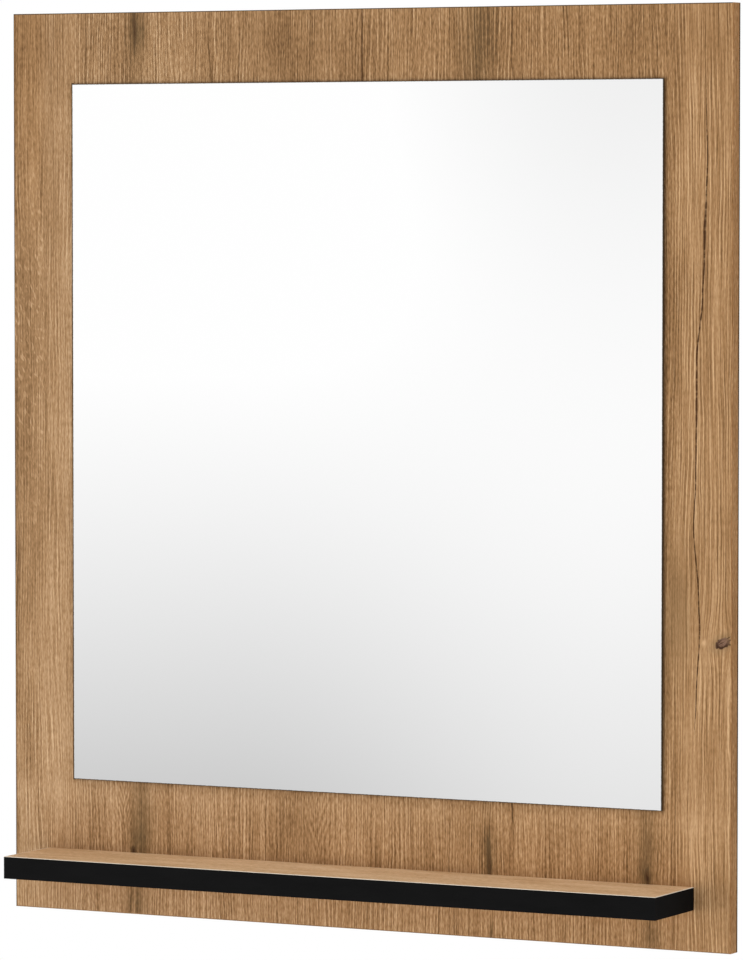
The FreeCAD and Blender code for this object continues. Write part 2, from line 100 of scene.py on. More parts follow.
def setting(kind, name, description, default, **options):
    """A property of some kind that the user can change."""
    return kind(name=name, description=description, default=default, **options)


colour = partial(setting, FloatVectorProperty, subtype="COLOR", size=3, min=0.0, max=1.0)
factor = partial(setting, FloatProperty, subtype="FACTOR", min=0.0, max=1.0)
length = partial(setting, FloatProperty, unit="LENGTH", min=0.0, precision=4)
power = partial(setting, FloatProperty, unit="POWER", min=0.0)
angle = partial(setting, FloatProperty, subtype="ANGLE")
count = partial(setting, IntProperty)


class OakSettings(PropertyGroup):
    """Colours and grain of the back board's knotty oak decor."""

    dark: colour("Dark grain", "Colour of the dark growth lines", screen(118, 86, 53))
    middle: colour("Oak", "Colour of the plain oak between the lines", screen(160, 123, 84))
    light: colour("Light grain", "Colour of the pale growth lines", screen(205, 170, 131))
    olive: colour("Stained zones", "Colour of the stained zones near the knots", screen(112, 92, 62))
    # Colour of the trimmed corners, also used for painted shade along the bands' edges and for the painted
    # shadow on the board round the glass.
    trim_and_shadow: colour("Trimmed corner", "Colour of the bands' trimmed corners", screen(66, 47, 28))
    crack: colour("Cracks", "Colour inside the printed cracks", screen(52, 22, 0))
    knot: colour("Knot", "Colour of the knot's rim", screen(54, 30, 12))
    heart: colour("Knot's heart", "Colour inside the knot", screen(120, 91, 75))
    chips: colour("Chipboard", "Colour of the chips inside the board", screen(178, 148, 108))
    line_gap: length("Line spacing", "Usual distance between growth lines", 0.0037)
    emboss: length("Pore depth", "Depth of the pores pressed into the decor", 0.00008)
    roughness: factor("Roughness", "Roughness of the decor", 0.55)


class GlassSettings(PropertyGroup):
    """Colours of the mirror glass and of its silver coat."""

    silver: colour("Silver", "Colour that the silver coat reflects", (0.995, 0.995, 0.995))
    paint: colour("Back paint", "Colour of the paint behind the silver", screen(96, 104, 104))
    edge: colour("Glass edge", "Colour of the glass seen through its side", screen(72, 57, 38))
    arris: colour("Ground corner", "Colour of the ground corner of the glass", screen(66, 58, 48))
    border: length("Dark border", "Width of the dark line where the silver ends", 0.0002)


class ShelfSettings(PropertyGroup):
    """Colours of the shelf's oak decor and of its black bands."""

    dark: colour("Dark grain", "Colour of the shelf decor's dark lines", screen(176, 138, 98))
    middle: colour("Oak", "Colour of the shelf's oak decor", screen(199, 162, 122))
    light: colour("Light grain", "Colour of the shelf decor's pale lines", screen(218, 186, 150))
    band: colour("Band", "Colour of the black edge bands", (0.0056, 0.0056, 0.0057))
    # A painted highlight along the bands' rounded top corner, where it would catch the light.
    painted_highlight: colour("Scraped corner", "Colour of the bands' scraped top corner", screen(234, 222, 204))
    band_roughness: factor("Band roughness", "Roughness of the black edge bands", 0.7)


class BondSettings(PropertyGroup):
    """Tape and adhesive between the glass and the board."""

    foam: colour("Foam", "Colour of the foam tape", (0.72, 0.72, 0.70))
    adhesive: colour("Adhesive", "Colour of the cured mirror adhesive", (0.55, 0.53, 0.47))
    foam_bulge: length("Bulge", "How far the tape's squeezed sides bulge", 0.0004)
    bead_waist: length("Waist", "How much narrower a bead is at its thinnest", 0.0024)
    tape_count: count("Strips", "Number of foam strips", 4, min=2)
    bead_count: count("Beads", "Number of adhesive beads", 3, min=1)


class FixingSettings(PropertyGroup):
    """Dowels, keyhole plates and screws."""

    zinc: colour("Zinc", "Colour of the bright zinc plating", (0.62, 0.63, 0.64))
    beech: colour("Beech", "Colour of the dowels", (0.56, 0.37, 0.21))
    flute_depth: length("Flute depth", "Depth of the dowels' glue flutes", 0.00035)
    flutes: count("Flutes", "Number of glue flutes round a dowel", 20, min=6)
    dowel_count: count("Dowels", "Number of dowels", 4, min=2)


class StageSettings(PropertyGroup):
    """Floor, lamps, surroundings and camera."""

    floor: colour("Floor", "Colour of the floor", (0.86, 0.86, 0.85))
    floor_drop: length("Floor below", "Distance from the board's bottom edge to the floor", 0.36)
    floor_radius: length("Floor radius", "Radius of the floor", 2.6)
    daylight: factor("Surroundings", "Light from the surroundings on the object", 0.66, max=4.0)
    key: power("Key lamp", "Power of the large soft lamp in front", 27.0)
    top: power("Top lamp", "Power of the soft lamp above", 50.0)
    low: power("Low lamp", "Power of the soft lamp near the floor", 25.0)
    lens: setting(FloatProperty, "Lens", "Focal length in millimetres", 213.061, unit="CAMERA", min=10.0)
    turn: angle("Turn", "Angle of the view from straight ahead", math.radians(27.4548))
    tilt: angle("Tilt", "Angle at which the camera looks down", math.radians(2.9223))
    eye: setting(
        FloatVectorProperty, "Eye", "Camera's place", (2.53364, -4.87200, 0.27067), subtype="TRANSLATION"
    )


def maths(operation, swapped=False):
    """A method that adds a Math node for its wire and, where there is one, the other value."""

    def method(self, *other):
        values = (*other, self) if swapped else (self, *other)
        return self.shader.node("ShaderNodeMath", {"operation": operation}, dict(enumerate(values)))

    return method


class Wire:
    """A shader socket that takes part in Python sums; each sum adds its Math node."""

    __add__ = __radd__ = maths("ADD")
    __sub__ = maths("SUBTRACT")
    __rsub__ = maths("SUBTRACT", swapped=True)
    __mul__ = __rmul__ = maths("MULTIPLY")
    __truediv__ = maths("DIVIDE")
    __rtruediv__ = maths("DIVIDE", swapped=True)
    __pow__ = maths("POWER")
    __abs__ = maths("ABSOLUTE")
    least = maths("MINIMUM")
    most = maths("MAXIMUM")
    above = maths("GREATER_THAN")
    root = maths("SQRT")
    sine = maths("SINE")

    def __init__(self, shader, socket):
        self.shader = shader
        self.socket = socket

    def __neg__(self):
        return self * -1.0

    def square(self):
        return self * self

    def rise(self, low, high):
        """0 up to low, 1 from high on, and a smooth step between; low may be the larger."""
        return self.shader.node(
            "ShaderNodeMapRange",
            {"interpolation_type": "SMOOTHSTEP"},
            {"Value": self, "From Min": low, "From Max": high, "To Min": 0.0, "To Max": 1.0},
        )


def set_stops(ramp, stops, interpolation):
    """Gives a ramp its stops, each a place and either a colour or a plain tone."""
    ramp.interpolation = interpolation
    while len(ramp.elements) < len(stops):
        ramp.elements.new(1.0)
    for stop, (place, tone) in zip(ramp.elements, stops):
        stop.position = place
        stop.color = (tone, tone, tone, 1.0) if isinstance(tone, float) else (*tone, 1.0)


class Shader:
    """The node tree of one material or of the world, filled by sums and plain calls."""

    def __init__(self, tree):
        self.tree = tree
        tree.nodes.clear()

    def node(self, kind, settings=None, inputs=None, output=0):
        """Adds a node: its settings first, with a ramp's stops, then its sockets' values and links."""
        made = self.tree.nodes.new(kind)
        for name, value in (settings or {}).items():
            if name == "stops":
                set_stops(made.color_ramp, *value)
            else:
                setattr(made, name, value)
        for name, value in (inputs or {}).items():
            if isinstance(value, Wire):
                self.tree.links.new(value.socket, made.inputs[name])
            else:
                coloured = made.inputs[name].type == "RGBA"
                made.inputs[name].default_value = (*value, 1.0) if coloured else value
        return Wire(self, made.outputs[output]) if made.outputs else made

    def outputs(self, names, kind, inputs=None):
        """Adds a node and gives several of its outputs, by name or number."""
        made = self.node(kind, None, inputs).socket.node
        return [Wire(self, made.outputs[name]) for name in names]

    def place(self):
        """The point's place on the object, as three wires in millimetres."""
        spot = self.node("ShaderNodeTexCoord", output="Object")
        return [part * (1 / MM) for part in self.outputs(range(3), "ShaderNodeSeparateXYZ", {0: spot})]

    def point(self, x, y, z=0.0):
        return self.node("ShaderNodeCombineXYZ", inputs={0: x, 1: y, 2: z})

    def noise(self, point, detail=0.0, roughness=0.5, flat=False):
        """Smooth noise with features one unit of the point apart, about 0.5 on average."""
        return self.node(
            "ShaderNodeTexNoise",
            {"noise_dimensions": "2D" if flat else "3D"},
            {"Vector": point, "Scale": 1.0, "Detail": detail, "Roughness": roughness},
        )

    def streaks(self, across, along, wide, tall, detail=0.0, roughness=0.5):
        """Flat noise whose features are wide across and tall along, in millimetres."""
        return self.noise(self.point(across / wide, along / tall), detail, roughness, flat=True)

    def mark(self, point, place, size):
        """A soft oval mark on a flat point: exp(-d squared), with the distance d counted in its size."""
        inverse = (1 / size[0], 1 / size[1], 0.0)
        offset = (-place[0] / size[0], -place[1] / size[1], 0.0)
        apart = self.node(
            "ShaderNodeVectorMath", {"operation": "MULTIPLY_ADD"}, {0: point, 1: inverse, 2: offset}
        )
        squared = self.node(
            "ShaderNodeVectorMath", {"operation": "DOT_PRODUCT"}, {0: apart, 1: apart}, "Value"
        )
        return self.node("ShaderNodeMath", {"operation": "POWER"}, {0: math.exp(-1.0), 1: squared})

    def cells(self, point, feature="F1", output="Distance"):
        """Cells one unit of the point apart: the distance from their middles or edges, or their colour."""
        return self.node(
            "ShaderNodeTexVoronoi", {"feature": feature}, {"Vector": point, "Scale": 1.0}, output
        )

    def mix(self, amount, first, second, blend="MIX"):
        """Colour that goes from first to second with the amount; 6, 7 and 2 are its colour sockets."""
        kinds = {"data_type": "RGBA", "blend_type": blend}
        return self.node("ShaderNodeMix", kinds, {0: amount, 6: first, 7: second}, 2)

    def ramp(self, value, stops, interpolation="LINEAR"):
        """Colour or tone that runs through the stops as the value goes from 0 to 1."""
        return self.node("ShaderNodeValToRGB", {"stops": (stops, interpolation)}, {0: value})

    def bump(self, height, depth):
        """A bent normal for a relief whose height of 1 stands depth metres up."""
        return self.node("ShaderNodeBump", None, {"Strength": 1.0, "Distance": depth, "Height": height})

    def surface(self, **sockets):
        """A Principled shader; an underscore in a name stands for a blank."""
        inputs = {name.replace("_", " "): value for name, value in sockets.items()}
        return self.node("ShaderNodeBsdfPrincipled", None, inputs)

    def finish(self, shader, output="ShaderNodeOutputMaterial"):
        self.node(output, None, {"Surface": shader})

    def skin(self, **sockets):
        """Leads a Principled shader straight to the output."""
        self.finish(self.surface(**sockets))


def new_material(name):
    """An empty node material, its shader and the point's place across, deep and up."""
    material = bpy.data.materials.new(name)
    material.use_nodes = True
    shader = Shader(material.node_tree)
    return material, shader, *shader.place()


def coat(material, *nodes):
    """Gives CAD nodes one material on every face."""
    for name in nodes:
        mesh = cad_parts[name].data
        mesh.materials.clear()
        mesh.materials.append(material)


# How far the grain shifts across for each unit of layer, so that other layers show other grain,
# and how much a layer changes over a millimetre of depth.
LAYER_SHIFT = 211.0
LAYER_SLOPE = 0.2


def grain(shader, across, along, layer, gap, bold=1.0, fine=1.0, short=1.0):
    """Growth lines of planed oak as a tone of about 0.5, and the pores as a mask.

    A place across the grain wanders with two slow noises. The growth rings are the contour lines of a
    ramp across the grain plus a noise drawn out along it, so that they crowd, part and close in arches.
    Thin dark seams are the peaks of a noise drawn far out along the grain. Fibres, ticks and patches
    are plain drawn-out noises, and pores are the peaks of a fine one. Bold scales the rings and seams,
    fine scales the fibres and ticks, and short scales the ticks alone.
    """
    ring_mean = 0.27
    seam_mean = 0.15
    start = across + layer * LAYER_SHIFT
    slow = shader.streaks(start, along, 50.0, 300.0)
    quick = shader.streaks(start, along, 9.0, 36.0)
    line = start + (slow - 0.5) * 9.0 + (quick - 0.5) * 1.4
    swell = shader.streaks(line, along, 40.0, 420.0, 1.0, 0.4)
    rings = ((line / gap + swell * 6.0) * FULL_TURN).sine() * 0.5 + 0.5
    strength = shader.streaks(line, along, 12.0, 120.0).rise(0.3, 0.75)
    fibre = shader.streaks(line, along, 1.0, 80.0, 2.0, 0.6)
    ticks = shader.streaks(line, along, 1.5, 6.0, 1.0, 0.6)
    patch = shader.streaks(line, along, 21.0, 110.0, 2.0)
    seams = shader.streaks(line, along, 1.2, 240.0).rise(0.60, 0.72)
    crests = (rings ** 4 - ring_mean) * (0.08 + strength * 0.20) - (seams - seam_mean) * 0.14
    small = (fibre - 0.5) * 0.86 + (ticks - 0.5) * short * 0.60
    tone = 0.49 + crests * bold + small * fine + (patch - 0.5) * 0.32
    pores = shader.streaks(line, along, 0.6, 6.0).rise(0.60, 0.80)
    return tone, pores


def plain_oak(shader, wood, tone, pores, pore_depth):
    """Oak's colour from the tone of its grain, with dark pores; wood holds its three colours."""
    base = shader.ramp(tone, [(0.12, wood.dark), (0.5, wood.middle), (0.88, wood.light)], "EASE")
    return shader.mix(pores * pore_depth, base, wood.dark)


def decor_surface(shader, oak, base, pores, pore_roughness=0.12, specular=DULL):
    """The decor's matt skin, whose pores are rougher and pressed in."""
    return shader.surface(
        Base_Color=base,
        Roughness=oak.roughness + pores * pore_roughness,
        Specular_IOR_Level=specular,
        Normal=shader.bump(-pores, oak.emboss),
    )


# Zones of the board's decor, among them painted light and shade near the shelf: place across and up,
# half width, half length in millimetres, change of tone, share of the olive stain, and change of the
# rings' boldness.
ZONES = (
    (0.0, 416.0, 900.0, 42.0, -0.09, 0.0, 0.0),
    # Painted light: the bottom rail made paler against the shelf's shade.
    (0.0, -400.0, 900.0, 70.0, 0.05, 0.0, 0.0),
    (0.0, -326.0, 900.0, 12.0, 0.08, 0.0, 0.0),
    # Painted shade: a darker strip on the board just above the shelf.
    (0.0, -380.0, 900.0, 14.0, -0.06, 0.0, 0.0),
    (-386.0, 20.0, 16.0, 130.0, -0.13, 0.0, 0.0),
    (-373.0, -20.0, 20.0, 140.0, -0.05, 0.0, 0.0),
    (75.0, -365.0, 50.0, 60.0, -0.02, 0.06, 0.0),
    (-384.0, 270.0, 14.0, 60.0, -0.09, 0.0, 0.0),
    (-380.0, -210.0, 18.0, 60.0, -0.07, 0.0, 0.0),
    (-328.0, 30.0, 12.0, 400.0, 0.10, 0.0, 0.0),
    (326.0, 130.0, 6.5, 290.0, -0.15, 0.0, 0.0),
    (360.0, -310.0, 12.0, 60.0, 0.10, 0.0, 0.0),
    (-2.0, 400.0, 14.0, 60.0, -0.07, 0.0, 0.0),
    (-356.0, -240.0, 34.0, 190.0, 0.08, 0.0, 0.0),
    (-391.0, 60.0, 4.0, 900.0, -0.20, 0.0, 0.0),
    (-250.0, 428.0, 13.0, 60.0, -0.20, 0.25, -0.5),
    (-252.3, 428.0, 1.5, 15.0, -0.90, 0.10, 0.0),
    (-247.0, 424.0, 7.0, 13.0, -0.14, 0.35, 0.0),
    (-212.0, 400.0, 26.0, 60.0, 0.12, 0.0, 0.6),
    (-78.0, 405.0, 30.0, 90.0, -0.09, 0.0, -0.6),
    (125.0, 410.0, 18.0, 110.0, -0.15, 0.35, 0.4),
    (72.0, 410.0, 15.0, 90.0, 0.02, 0.0, 0.8),
    (302.0, 410.0, 17.0, 110.0, -0.05, 0.05, -0.2),
    (356.0, 50.0, 30.0, 700.0, 0.05, 0.0, 0.5),
    (-368.0, 250.0, 17.0, 260.0, -0.04, 0.0, -0.5),
    (-334.0, 0.0, 13.0, 420.0, 0.0, 0.0, -0.3),
    (-246.0, -350.0, 11.0, 46.0, -0.24, 0.50, -0.4),
    (-254.0, -382.0, 1.8, 3.4, -1.5, 0.0, 0.0),
    (-247.0, -371.0, 11.0, 15.0, -0.22, 0.30, -0.3),
    (-250.0, -432.0, 12.0, 22.0, -0.14, 0.40, 0.0),
    (-76.0, -355.0, 26.0, 44.0, -0.18, 0.05, -0.6),
    (137.0, -362.0, 1.8, 22.0, -0.50, 0.40, 0.0),
    (136.2, -377.0, 2.4, 12.0, -0.60, 0.15, 0.0),
    (137.0, -364.0, 8.0, 26.0, -0.20, 0.35, 0.0),
    (140.0, -440.0, 2.4, 12.0, -0.42, 0.40, 0.0),
    (128.0, -345.0, 24.0, 40.0, -0.06, 0.05, 0.0),
    (303.0, -350.0, 11.0, 44.0, -0.22, 0.40, -0.2),
    (333.0, -128.0, 14.0, 58.0, -0.04, 0.40, -0.9),
    (374.0, -152.0, 17.0, 32.0, 0.0, 0.0, -0.6),
    (364.5, -153.5, 2.6, 2.6, 0.34, 0.0, 0.0),
    (304.5, -378.0, 1.9, 5.5, -1.4, 0.0, 0.0),
    (302.0, -374.0, 7.0, 12.0, -0.26, 0.20, 0.0),
    (308.0, -436.0, 9.0, 22.0, -0.14, 0.40, 0.0),
)

# Thin single lines: place across and up, half width, half length, change of tone.
LINES = (
    (-167.5, 410.0, 0.7, 60.0, -0.30),
    (-161.0, 410.0, 0.7, 60.0, 0.34),
    (162.0, 410.0, 0.8, 80.0, -0.28),
    (162.5, -323.0, 1.5, 12.0, -0.34),
    (-258.0, -432.0, 0.8, 20.0, -0.40),
    (-251.5, -432.0, 0.8, 20.0, -0.34),
    (-349.0, 40.0, 0.7, 330.0, 0.22),
    (388.4, -290.0, 0.9, 130.0, 0.40),
)

# Arches where the rings were cut flat: place across and up of the tip, half width, half length,
# line spacing, height over which an arm moves out by one spacing, and change of tone.
ARCHES = (
    (-266.5, -356.0, 10.0, 40.0, 3.4, 12.0, 0.13),
    (-50.0, -376.0, 20.0, 56.0, 5.0, 14.0, 0.09),
    (-203.0, 360.0, 14.0, 40.0, 3.6, 20.0, 0.09),
)

# The long crack of the right stile: height, place across, half width in millimetres.
CRACK = (
    (395.0, 362.5, 0.10),
    (342.0, 362.9, 0.35),
    (299.0, 364.1, 0.50),
    (262.0, 362.8, 0.75),
    (230.0, 361.3, 1.15),
    (205.0, 361.0, 0.70),
    (173.0, 359.4, 0.65),
    (110.0, 353.5, 0.70),
    (79.0, 353.6, 0.80),
    (-1.0, 352.8, 0.50),
    (-44.0, 350.9, 0.50),
    (-115.0, 356.3, 0.65),
    (-144.0, 358.4, 0.70),
    (-202.0, 354.0, 0.45),
    (-250.0, 352.0, 0.10),
)

# Place across of the short crack in the middle of the top rail, and its half width.
SHORT_CRACK = (0.4, 0.6)

# The knot of the right stile: its middle, its half length and half width, the cosine and sine of its
# turn, and the half width and half height over which the grain spreads round it.
KNOT = (381.0, -153.0)
KNOT_HALF = (7.9, 4.7)
KNOT_TURN = (0.87, 0.49)
KNOT_SPREAD = (15.0, 26.0)

# Tints of the board's cooler left side and warmer right side.
COOL = (1.0, 1.02, 1.055)
WARM = (1.0, 0.965, 0.905)

# Depths between which the front's own marks set in, so that the back shows the plain grain.
FRONT_DEPTHS = (-15.0, -15.9)

# The board's bands: node, whether it stands upright, darkness of its front and of its back corner, a
# trimmed corner that also carries painted shade along the edges, and a tint of painted light and shade,
# darker on the top band and lighter on the side bands.
BOARD_BANDS = (
    ("panel_edge_left", True, 1.0, 0.8, (1.16, 1.12, 1.05)),
    ("panel_edge_right", True, 0.25, 1.0, (1.21, 1.09, 0.96)),
    ("panel_edge_top", False, 1.0, 0.8, (0.52, 0.50, 0.46)),
    ("panel_edge_bottom", False, 0.35, 0.8, (1.0, 1.0, 1.0)),
)

# Zones of the shelf's decor: place along and deep, half length, half width, change of tone.
SHELF_ZONES = (
    (-352.0, -60.0, 140.0, 60.0, -0.16),
    (203.0, -52.0, 22.0, 10.0, -0.28),
    (-60.0, -42.0, 120.0, 16.0, 0.05),
)


def follow(shader, along, rows, column):
    """A number that follows the height through the rows of a table, read from a ramp."""
    high, low = rows[0][0], rows[-1][0]
    values = [row[column] for row in rows]
    small, large = min(values), max(values)
    stops = [
        ((row[0] - low) / (high - low), (row[column] - small) / (large - small))
        for row in reversed(rows)
    ]
    ramp = shader.ramp((along - low) / (high - low), stops, "EASE")
    return ramp * (large - small) + small


def table_changes(shader, here, bent, sway, z):
    """Change of tone, share of the stain and change of boldness that the tables ask for.

    A zone or a line is a soft mark that sways with the grain. An arch is the sine of the distance from
    its middle, counted in line spacings, less the height above its tip, counted in the height of one
    spacing, and it is kept to a soft mark.
    """
    swayed = shader.point(bent + sway * 5.0, z)
    change, stain, bold = 0.0, 0.0, 0.0
    for place_x, place_z, wide, tall, lighter, olive, bolder in ZONES:
        zone = shader.mark(swayed, (place_x, place_z), (wide, tall))
        change = zone * lighter + change
        stain = zone * olive + stain if olive else stain
        bold = zone * bolder + bold if bolder else bold
    for place_x, place_z, wide, tall, lighter in LINES:
        change = shader.mark(swayed, (place_x, place_z), (wide, tall)) * lighter + change
    for place_x, place_z, wide, tall, gap, climb, lighter in ARCHES:
        arm = (abs(bent + sway * 3.0 - place_x) / gap - (z - place_z) / climb) * FULL_TURN
        area = shader.mark(here, (place_x, place_z + 0.5 * tall), (wide, 0.6 * tall))
        change = arm.sine() * area * lighter + change
        bold = bold - area * 0.9
    return change, stain, bold


def cracks(shader, bent, x, z):
    """The long crack of the right stile and the short one of the top rail, as a mask.

    A crack is where the distance from its line is small against its half width. A fine noise makes the
    lines uneven, and a ragged one changes the long crack's width and depth on its way.
    """
    rough = shader.streaks(x, z, 0.9, 14.0, 1.0)
    seam = follow(shader, z, CRACK, 1) + (rough - 0.5) * 0.6
    width = follow(shader, z, CRACK, 2)
    ragged = shader.streaks(7.3, z, 1.0, 6.0, 2.0)
    long_crack = (abs(bent - seam) / (width * (ragged * 0.8 + 0.75))).rise(1.5, 0.6)
    long_crack = long_crack * z.rise(-250.0, -235.0) * z.rise(395.0, 350.0)
    long_crack = long_crack * (ragged.rise(0.25, 0.50) * 0.4 + 0.6)
    middle, half = SHORT_CRACK
    short_crack = (abs(bent - middle - (rough - 0.5) * 0.5) / half).rise(1.4, 0.6)
    return long_crack.most(short_crack * z.rise(330.0, 372.0))


def glass_shadow(x, z):
    """The dim line on the board round the glass, and the dark one beside its left edge, as a mask."""
    away = (abs(x - GLASS.middle[0]) - GLASS.half[0]).most(abs(z - GLASS.middle[2]) - GLASS.half[2])
    beside = GLASS.middle[0] - GLASS.half[0] - x
    level_with = (GLASS.half[2] + 1.0 - abs(z - GLASS.middle[2])).above(0.0)
    dark = beside.rise(3.6, 2.4) * beside.above(0.0) * level_with
    return (away.rise(3.0, 0.8) * away.above(-2.0) * 0.22).most(dark)


def draw_knot(shader, oak, base, x, z, front):
    """The knot over a base colour: a stained halo, a pale heart, a dark rim and cracks that fan out.

    The radius is the distance from the knot's middle counted in its half axes, made uneven by a noise.
    Run and lift are the places along and across its long axis. The fan is a noise of the run and of the
    lift over the run, so that its streaks part to the right.
    """
    cosine, sine = KNOT_TURN
    run = (x - KNOT[0]) * cosine + (z - KNOT[1]) * sine
    lift = (z - KNOT[1]) * cosine - (x - KNOT[0]) * sine
    uneven = (shader.streaks(x, z, 3.0, 3.0, 1.0) - 0.5) * 0.6
    radius = ((run / KNOT_HALF[0]).square() + (lift / KNOT_HALF[1]).square()).root() + uneven
    heart = radius.rise(1.12, 0.88) * front * (1.25 - run * 0.09).least(1.0)
    rim = radius.rise(0.42, 0.72) * (0.75 - lift * 0.10 - run * 0.06).least(1.0).most(0.0)
    fan_point = shader.point(run / 9.0, lift / (run + 12.0) * 9.0)
    fan = shader.noise(fan_point, 1.0, flat=True).rise(0.50, 0.62)
    fan = fan * heart.most(radius.rise(1.45, 1.15) * run.rise(0.0, 4.0) * front) * 0.8
    halo = radius.rise(2.6, 0.9) * front
    base = shader.mix(halo * 0.40, base, oak.olive)
    base = shader.mix(heart * 0.86, base, oak.heart)
    return shader.mix((heart * rim).most(fan) * 0.92, base, oak.knot)


def board_decor(shader, oak, x, y, z):
    """Colour of the front and back decor, and the mask of its pores.

    The grain runs up the board and spreads round the knot. On the front its fibres are fainter on the
    left stile, which rays cross, and it carries the zones, lines, arches, cracks and knot of the tables.
    """
    here = shader.point(x, z)
    front = y.rise(*FRONT_DEPTHS)
    bent = x - (x - KNOT[0]) * shader.mark(here, KNOT, KNOT_SPREAD) * 0.62
    sway = shader.streaks(x, z, 14.0, 40.0) - 0.5
    change, stain, bold = table_changes(shader, here, bent, sway, z)
    change, stain, bold = change * front, stain * front, bold * front + 1
    blur = shader.mark(here, (333.0, -128.0), (16.0, 70.0))
    fine = 1 - (x.rise(-310.0, -330.0) * 0.28 + blur * 0.35) * front
    short = 1 - x.rise(315.0, 345.0) * 0.5 * front
    gap = oak.line_gap / MM
    tone, pores = grain(shader, bent, z, y * LAYER_SLOPE, gap, bold.most(0.0), fine, short)
    ray_zone = x.rise(-352.0, -358.0) * shader.mark(here, (-372.0, 110.0), (40.0, 190.0))
    rays = shader.streaks(x + z * 0.35, z, 3.2, 9.0, 1.0).rise(0.60, 0.70)
    tone = tone + change + rays * ray_zone * front * 0.22
    stops = [(0.0, scaled(oak.dark, 0.5)), (0.2, oak.dark), (0.5, oak.middle), (0.9, oak.light)]
    base = shader.ramp(tone, stops)
    warm = x.rise(-450.0, 450.0).most(x.rise(-350.0, -365.0) * z.rise(150.0, 330.0) * 0.7)
    base = shader.mix(1.0, base, shader.mix(warm, COOL, WARM), "MULTIPLY")
    base = shader.mix(stain.least(1.0) * tone.rise(-0.5, 0.1) * 0.75, base, oak.olive)
    base = shader.mix(tone.rise(-0.6, -1.1) * 0.8, base, oak.knot)
    base = shader.mix(pores * 0.26, base, oak.dark)
    base = shader.mix(cracks(shader, bent, x, z) * front * 0.92, base, oak.crack)
    # Painted shadow on the board round the glass, in the colour of the trimmed corners.
    base = shader.mix(glass_shadow(x, z) * front, base, oak.trim_and_shadow)
    return draw_knot(shader, oak, base, x, z, front), pores


def cut_through(shader, oak, decor, depth, half):
    """The decor on a board's two faces, and cut chipboard wherever the depth from the middle is less.

    The chips are flat cells of several tones with dark gaps between them.
    """
    x, y, z = shader.place()
    bend = shader.noise(shader.point(x / 1.5, y / 1.5, z / 1.5), 1.0) * 1.6
    point = shader.point(x / 0.8 + bend, y / 0.35, z / 1.3 + bend)
    tone = shader.node("ShaderNodeSeparateColor", None, {0: shader.cells(point, output="Color")})
    gaps = shader.cells(point, "DISTANCE_TO_EDGE").rise(0.08, 0.0)
    stops = [(0.0, scaled(oak.chips, 0.62)), (0.6, oak.chips), (1.0, scaled(oak.chips, 1.22))]
    base = shader.mix(gaps * 0.35, shader.ramp(tone, stops), scaled(oak.chips, 0.4))
    chips = shader.surface(
        Base_Color=base,
        Roughness=0.85,
        Specular_IOR_Level=0.2,
        Normal=shader.bump(tone - gaps, oak.emboss),
    )
    cut = depth.rise(half - 0.02, half - 0.06)
    return shader.node("ShaderNodeMixShader", None, {0: cut, 1: decor, 2: chips})


class HALLMIRROR_OT_board(Operator):
    """Gives the back board its oak decor, with chipboard inside its holes and pockets"""

    bl_idname = "hall_mirror.board"
    bl_label = "Dress Back Board"

    def execute(self, context):
        oak = context.scene.hall_mirror_oak
        material, shader, x, y, z = new_material("board_decor")
        base, pores = board_decor(shader, oak, x, y, z)
        decor = decor_surface(shader, oak, base, pores)
        shader.finish(cut_through(shader, oak, decor, abs(y - BOARD.middle[1]), BOARD.half[1]))
        coat(material, "panel_board")
        return {"FINISHED"}


class HALLMIRROR_OT_board_bands(Operator):
    """Gives the board's four edge bands oak grain along their length, a darker trimmed corner partly
    painted as shade, and tints of painted light and shade
    """

    bl_idname = "hall_mirror.board_bands"
    bl_label = "Dress Board Bands"

    def execute(self, context):
        oak = context.scene.hall_mirror_oak
        for name, upright, front_dark, back_dark, light_and_shade_tint in BOARD_BANDS:
            material, shader, x, y, z = new_material(f"{name}_decor")
            low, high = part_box(name)
            layer = 50.0 + sum(0.5 * (low + high) / MM) * 0.07
            tone, pores = grain(shader, y, z if upright else x, layer, oak.line_gap / MM, 0.8)
            base = plain_oak(shader, oak, tone, pores, 0.34)
            # Painted light and shade: the tint makes the top band darker and the side bands lighter than
            # the lamps leave them.
            base = shader.mix(1.0, base, light_and_shade_tint, "MULTIPLY")
            front, back = low.y / MM, high.y / MM
            # Trimmed corners, darkened also as painted shade along the bands' front and back edges.
            front_corner = y.rise(front + 0.5, front + 0.15) * front_dark
            back_corner = y.rise(back - 3.2, back - 2.2) * back_dark
            base = shader.mix(front_corner.most(back_corner), base, oak.trim_and_shadow)
            shader.finish(decor_surface(shader, oak, base, pores, specular=BAND_DULL))
            coat(material, name)
        return {"FINISHED"}


def inset_from(box, x, z):
    """How far a point lies inside a box's nearest side, top or bottom, in millimetres."""
    return (box.half[0] - abs(x - box.middle[0])).least(box.half[2] - abs(z - box.middle[2]))


